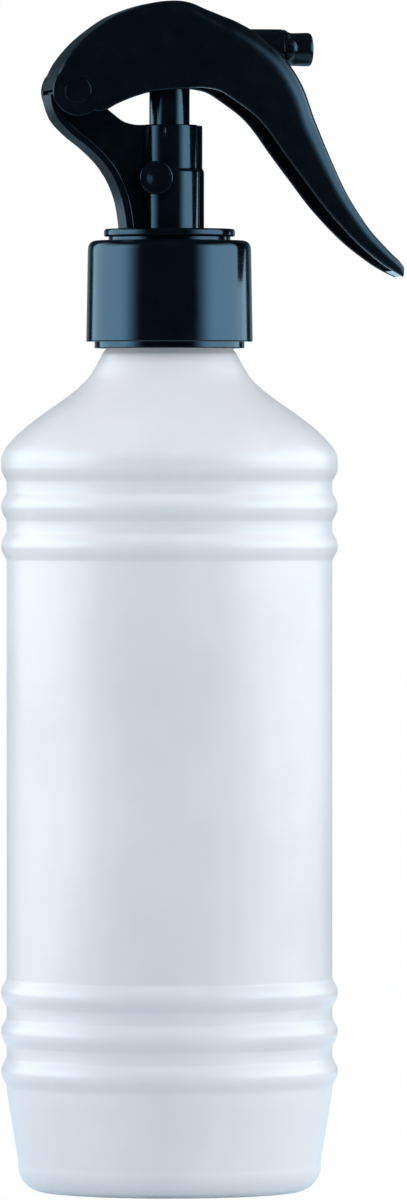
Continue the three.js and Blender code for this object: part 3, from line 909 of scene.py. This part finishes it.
def ear_face(side):
    """The ear's outer face, a round plate with the hole for the pin."""
    bore = pin_radius + hole_gap
    low, high = ear_half - ear_plate, ear_half + ear_proud
    profile = rounded([(bore, low), (ear_radius, low), (ear_radius, high, 0.25), (bore, high, 0.12)])
    return pivot_lathe(profile, side, closed=True)


def pressing_pad():
    """The rounded rib under the lever's roof that pushes the head down."""
    centre = head_top + pad_gap + pad_radius
    top = centre + pad_height
    outline = [Vector((pad_x - pad_radius, top)), *arc((pad_x, centre), pad_radius, 180, 360, 16)]
    outline.append(Vector((pad_x + pad_radius, top)))
    return plate(outline, pad_width, 0)


def build_lever():
    steps = [i / lever_steps for i in range(lever_steps + 1)] + [tip_start - 0.0005]
    shell = loft([lever_ring(t) for t in sorted(steps)])
    joined = combined(shell, [ear(-1), ear(1), pressing_pad()], "UNION")
    bore = pin_radius + hole_gap
    hole = lathe([(0, -hole_reach), (bore, -hole_reach), (bore, hole_reach), (0, hole_reach)], 64, "Y")
    bmesh.ops.translate(hole, verts=hole.verts, vec=(pivot.x, 0, pivot.z))
    cut = combined(joined, [hole, nozzle_slot()], "DIFFERENCE")
    piece("lever_shell", cut, lever_black, "lever", "trigger_lever", sharp=32)
    piece("lever_ear_near", ear_face(-1), lever_black, "lever", "trigger_lever")
    piece("lever_ear_far", ear_face(1), lever_black, "lever", "trigger_lever")


# The head and the nozzle


def build_head():
    inner = skirt_radius - skirt_wall
    roof = column_top + 1
    profile = [(0, head_top), (skirt_radius, head_top, 0.5), (skirt_radius, skirt_bottom, 0.2)]
    profile += [(inner, skirt_bottom, 0.2), (inner, roof), (0, roof)]
    post = lathe(rounded(profile, False), 64)
    piece("head_post", post, head_black, "plunger", "actuator_head")
    length = barrel_end - 0.1
    tip = length + spud_length
    profile = [(0, 0), (barrel_radius, 0), (barrel_radius, length, 0.25), (spud_radius, length)]
    profile += [(spud_radius, tip, 0.2), (spud_bore, tip), (spud_bore, length + 1), (0, length + 1)]
    barrel = lathe(rounded(profile, False), 64, "X", (0, 0, nozzle_z))
    piece("head_barrel", barrel, head_black, "plunger", "actuator_head")


def grip_pads():
    """The two round pads beside the cap's foot, with notches at the back for the fingers."""
    start = barrel_end + 0.1
    face = pad_disc - pad_bevel
    half = [(0, pad_swing), (face, pad_swing, 0.4), (pad_disc, pad_swing - pad_bevel, 0.3)]
    disc = rounded([(r, -y, *more) for r, y, *more in half] + half[::-1], False)
    pads = lathe(disc, 64, "Y", (start + 0.3, 0, nozzle_z))
    crown = rounded([(0, 0), (pad_swing, 0, 0.1), (pad_swing, 2.8, 0.5), (0, 2.8)], False)
    swing = lathe(crown, 96, "X", (start, 0, nozzle_z))
    pads = combined(pads, [swing], "INTERSECT")
    notches = []
    end = start + notch_length
    for i in range(pad_notches):
        z = nozzle_z + (i - (pad_notches - 1) / 2) * notch_pitch
        outline = [(start - 1, z - 0.3), (end, z - 0.18), (end, z + 0.18), (start - 1, z + 0.3)]
        for side in (-1, 1):
            notches.append(plate(outline, 4 * notch_depth, 0, side * (pad_swing + notch_depth)))
    return combined(pads, notches, "DIFFERENCE")


def build_nozzle():
    length = cap_end - barrel_end
    profile = rounded(
        [
            (cap_bore, 0),
            (barrel_radius - 0.1, 0, 0.1),
            (barrel_radius - 0.1, 0.45, 0.5),
            (cap_radius - 0.14, cap_shoulder, 0.6),
            (cap_radius, length, 0.9),
            (1.5, length, 0.1),
            (0.5, length - 0.7),
            (0.4, length - 0.9),
            (cap_bore, length - 1),
        ],
    )
    cap = lathe(profile, 96, "X", (barrel_end, 0, nozzle_z), closed=True)
    piece("nozzle_shell", cap, nozzle_black, "nozzle", "nozzle_cap")
    piece("nozzle_pads", grip_pads(), nozzle_black, "nozzle", "nozzle_cap", sharp=30)


# The pump under the closure


def build_pump():
    radius = pump_radius
    flange = housing_high.x
    plate_low = rim + gasket_height
    profile = rounded(
        [
            (0, housing_low.z + 10),
            (2.6, housing_low.z),
            (3.55, housing_low.z, 0.25),
            (3.55, housing_low.z + 9, 0.8),
            (radius, housing_low.z + 11.6, 0.8),
            (radius, plate_low, 0.4),
            (flange, plate_low, 0.2),
            (flange, plate_low + 1, 0.2),
            (radius, plate_low + 1),
            (radius, housing_high.z, 0.2),
            (4, housing_high.z),
            (4, housing_high.z - 9.5),
            (0, housing_high.z - 9.5),
        ],
        False,
    )
    piece("pump_shell", lathe(profile, 64), pump_natural, "sprayer", "pump_housing")
    for i in range(pump_rings):
        high = plate_low - 5 - ring_pitch * i
        low = high - 0.7
        inner, outer = radius - 0.1, radius + 0.35
        ring = rounded([(inner, high), (outer, high, 0.15), (outer, low, 0.15), (inner, low)])
        piece(f"pump_ring_{i + 1}", lathe(ring, 64, closed=True), pump_natural, "sprayer", "pump_housing")


def build_tube():
    outer = tube_high.x
    profile = [(tube_bore, tube_low.z), (outer, tube_low.z), (outer, tube_high.z), (tube_bore, tube_high.z)]
    tube = lathe(profile, 40, closed=True)
    for vert in tube.verts:
        if vert.co.z < tube_low.z + 1:
            vert.co.z += (vert.co.x + outer) / (2 * outer) * tube_slant
    piece("suction_tube", tube, tube_natural, "sprayer", "dip_tube", sharp=40)


def dress_nodes():
    """The pump's inner pieces keep their CAD shape and get their materials."""
    finishes = {
        "neck_gasket": gasket_foam,
        "swirl_insert": pump_natural,
        "stem_collar": pump_natural,
        "pump_stem": pump_natural,
        "piston": pump_natural,
        "valve_poppet": pump_natural,
        "return_spring": spring_steel,
        "inlet_ball": ball_steel,
    }
    for node, material in finishes.items():
        for slot in frame["nodes"][node].material_slots:
            slot.material = material


# The studio


def turned_point(side, front, height):
    """A place in metres, from the millimetres to the picture's right, towards the camera and up."""
    right = Vector((math.cos(camera_turn), math.sin(camera_turn), 0))
    near = Vector((math.sin(camera_turn), -math.cos(camera_turn), 0))
    return (right * side + near * front + Vector((0, 0, height))) * MM


def build_camera():
    data = bpy.data.cameras.new("camera")
    data.sensor_width = 36
    data.lens = data.sensor_width * camera_distance / picture_height
    data.clip_end = 100
    camera = bpy.data.objects.new("camera", data)
    side, centre = picture_centre
    camera.location = turned_point(side, camera_distance, eye_height)
    target = turned_point(side, 0, centre)
    camera.rotation_euler = (target - camera.location).to_track_quat("-Z", "Y").to_euler()
    bpy.context.scene.collection.objects.link(camera)
    bpy.context.scene.camera = camera


def only_seen_by(obj, *rays):
    """obj is seen by these kinds of rays and by no others."""
    for kind in ("camera", "diffuse", "glossy", "transmission", "volume_scatter", "shadow"):
        setattr(obj, "visible_" + kind, kind in rays)


def soft_box(turn, dark, bright):
    """The light of a soft box that fades in between two angles and is weaker far round the object."""
    return turn.degrees(dark, bright) * turn.degrees(*box_end) * turn.degrees(*box_light)


def tent_material():
    """Two tall soft boxes beside the camera, in a dark tent over a table that is pale near the object."""
    tree = material_tree("tent")
    x, y, z = tree.axes()
    side = x * math.cos(camera_turn) + y * math.sin(camera_turn)
    front = x * math.sin(camera_turn) - y * math.cos(camera_turn)
    turn = side.maths("ARCTAN2", side, front)
    away = turn.size()
    reach = side.maths("SQRT", side * side + front * front)
    boxes = soft_box(turn, *right_box) + soft_box(-1 * turn, *left_box)
    glow = away.degrees(*glow_turn) * z.ramp(*glow_foot) * z.ramp(*glow_top)
    table = reach.ramp(*table_reach) * z.ramp(*table_height)
    strip = away.degrees(*strip_turn) * reach.ramp(*strip_reach) * z.ramp(*strip_height)
    strength = boxes * z.ramp(*box_top) * z.ramp(*box_foot) + glow + table + strip + tent_light
    light = tree.node("ShaderNodeEmission", 0, {"Color": tent_colour, "Strength": strength})
    tree.show("Material Output", light)
    return tree.owner


def build_tent():
    """A dark room with two soft boxes, which only the gloss on the object sees."""
    profile = [(0, tent_foot), (tent_radius, tent_foot), (tent_radius, tent_wall), (0, tent_top)]
    tent = sized_object("tent", lathe(profile, 64), tent_material())
    only_seen_by(tent, "glossy")


def build_lamp(name, turn, distance, height, size, power):
    """A soft lamp at an angle to the picture's right, which shines on what is matt."""
    data = bpy.data.lights.new(name, "AREA")
    data.shape = "RECTANGLE"
    data.size, data.size_y = size
    data.energy = power
    data.color = lamp_colour
    lamp = bpy.data.objects.new(name, data)
    angle = math.radians(turn)
    lamp.location = turned_point(math.sin(angle) * distance, math.cos(angle) * distance, height)
    target = Vector((0, 0, lamp_target))
    lamp.rotation_euler = (target - lamp.location).to_track_quat("-Z", "Y").to_euler()
    bpy.context.scene.collection.objects.link(lamp)
    lamp.visible_glossy = False
    lamp.visible_camera = False


def build_world():
    """A faint fill for what is matt, and white for every ray that sees the world directly."""
    world = bpy.data.worlds.new("studio")
    bpy.context.scene.world = world
    tree = Tree(world)
    fill = tree.shader("Background", Color=fill_colour, Strength=fill_strength)
    white = tree.node("ShaderNodeBackground", 0, {"Color": colour(1, 1, 1), "Strength": 1.0})
    tree.show("World Output", tree.blend(tree.seen_directly(), fill, white))


def build_floor():
    """A white floor that shows only a breath of shadow."""
    tree = material_tree("floor")
    paper = tree.mix(tree.noise(3, 3), colour(0.74, 0.74, 0.75), colour(0.78, 0.78, 0.79))
    lit = tree.shader("Principled BSDF", Base_Color=paper, Roughness=0.9)
    white = tree.node("ShaderNodeEmission", 0, {"Color": colour(1, 1, 1), "Strength": 1.0})
    tree.show("Material Output", tree.blend(tree.seen_directly() * floor_white, lit, white))
    bm = bmesh.new()
    bmesh.ops.create_circle(bm, cap_ends=True, radius=floor_radius, segments=96)
    sized_object("floor", bm, tree.owner)


build_bottle()
build_closure()
build_column()
build_flange()
build_arm()
build_boss()
build_lever()
build_head()
build_nozzle()
build_pump()
build_tube()
dress_nodes()
build_camera()
build_world()
build_tent()
build_floor()
for lamp_name, lamp_values in LAMPS.items():
    build_lamp(lamp_name, *lamp_values)
bpy.context.scene.view_settings.view_transform = "Standard"
